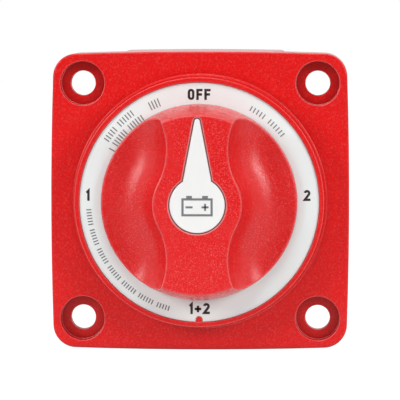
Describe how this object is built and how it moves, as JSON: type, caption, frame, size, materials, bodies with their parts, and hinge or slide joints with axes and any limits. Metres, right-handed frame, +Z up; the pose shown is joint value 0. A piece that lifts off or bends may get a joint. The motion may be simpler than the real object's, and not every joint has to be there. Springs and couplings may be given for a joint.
{
  "type": "battery switch",
  "caption": "Square panel or surface mounted battery selector switch with a turning grip knob, printed dial, rear terminal studs and a clip-on isolating cover.",
  "frame": {"origin": "on the knob's axis, in the wall plane: the centre of the isolating cover's flat back", "axes": "-Y to the front, out of the wall, along the knob's axis; +Z up, towards the off position; +X to the right seen from the front"},
  "size_m": [0.069, 0.0757, 0.069],
  "materials": {
    "red_body": "fine spark-eroded grain",
    "red_knob": "fine grain, slightly smoother than the body",
    "white_dial": "satin printed ring",
    "white_cap": "satin",
    "grey_base": "moulded, glass filled",
    "natural_acetal": "smooth",
    "black_rotor": "moulded",
    "seal_rubber": "matt",
    "copper": "silver-flashed copper, bright",
    "tinned_stud": "tin plated",
    "stainless": "turned and pressed",
    "spring_steel": "drawn wire",
    "ball_steel": "ground and polished"
  },
  "bodies": {
    "case": {"front_case": "red_body", "dial_ring": "white_dial", "detent_ring": "natural_acetal", "rear_base": "grey_base", "base_gasket": "seal_rubber", "base_screws": "stainless", "stud_common": "tinned_stud", "stud_1": "tinned_stud", "stud_2": "tinned_stud", "contact_common": "copper", "contact_1": "copper", "contact_2": "copper", "stud_seals": "seal_rubber", "flat_washers": "stainless", "lock_washers": "stainless", "stud_nuts": "stainless"},
    "turning": {"knob": "red_knob", "pointer_cap": "white_cap", "knob_screw": "stainless", "rotor": "black_rotor", "spindle_seal": "seal_rubber", "thrust_washer": "natural_acetal", "contact_springs": "spring_steel", "detent_springs": "spring_steel"},
    "bridge": {"bridge_contact": "copper"},
    "ball_a": {"detent_ball_a": "ball_steel"},
    "ball_b": {"detent_ball_b": "ball_steel"},
    "cover": {"isolating_cover": "red_body"}
  },
  "joints": [
    {"name": "knob_turn", "type": "hinge", "parent": "case", "child": "turning", "pos_m": [0, -0.06, 0], "axis": [0, -1, 0], "continuous": true},
    {"name": "bridge_float", "type": "slide", "parent": "turning", "child": "bridge", "axis": [0, -1, 0], "range_m": [0, 0.0006], "deforming": ["contact_springs"]},
    {"name": "detent_a", "type": "slide", "parent": "turning", "child": "ball_a", "axis": [1, 0, 0], "range_m": [0, 0.0009], "deforming": ["detent_springs"]},
    {"name": "detent_b", "type": "slide", "parent": "turning", "child": "ball_b", "axis": [-1, 0, 0], "range_m": [0, 0.0009]},
    {"name": "cover_release", "type": "slide", "parent": "case", "child": "cover", "axis": [0, 1, 0], "range_m": [0, 0.045]}
  ],
  "couplings": [
    {"joint": "detent_b", "follows": "detent_a", "ratio": 1}
  ]
}
